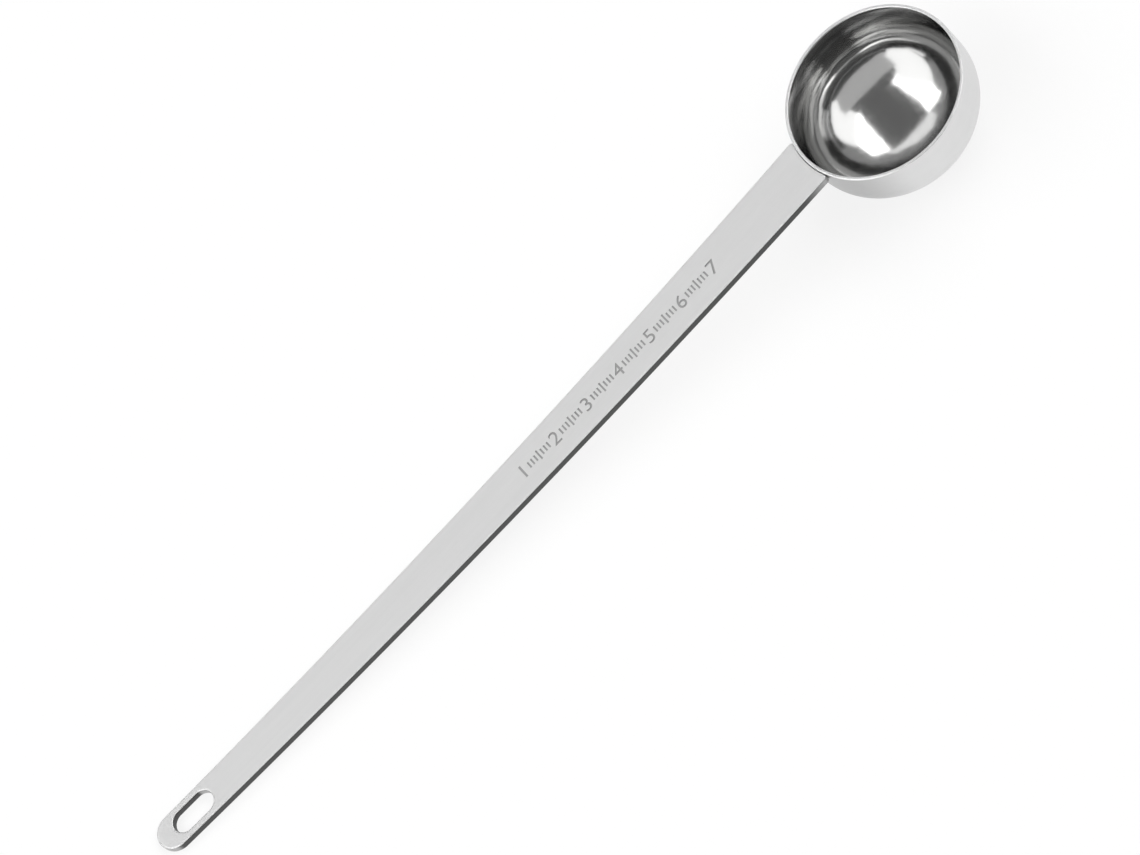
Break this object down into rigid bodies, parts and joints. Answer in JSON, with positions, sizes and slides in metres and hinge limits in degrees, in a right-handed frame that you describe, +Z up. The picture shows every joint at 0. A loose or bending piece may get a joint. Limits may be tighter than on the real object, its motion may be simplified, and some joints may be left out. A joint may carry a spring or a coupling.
{
  "type": "coffee scoop",
  "caption": "Long-handled measuring coffee scoop: a deep round steel bowl welded to a tapering strip handle with a hanging slot.",
  "frame": {"origin": "centre of the flat under the bowl", "axes": "+Z up along the bowl's axis, -X along the handle towards its tip"},
  "size_m": [0.2448, 0.0416, 0.0211],
  "materials": {
    "bowl_steel": "polished inside, satin outside",
    "handle_steel": "satin, brushed along its length",
    "weld_steel": "dull weld bead"
  },
  "bodies": {
    "root": {"bowl": "bowl_steel", "handle": "handle_steel", "handle_weld": "weld_steel"}
  },
  "joints": []
}
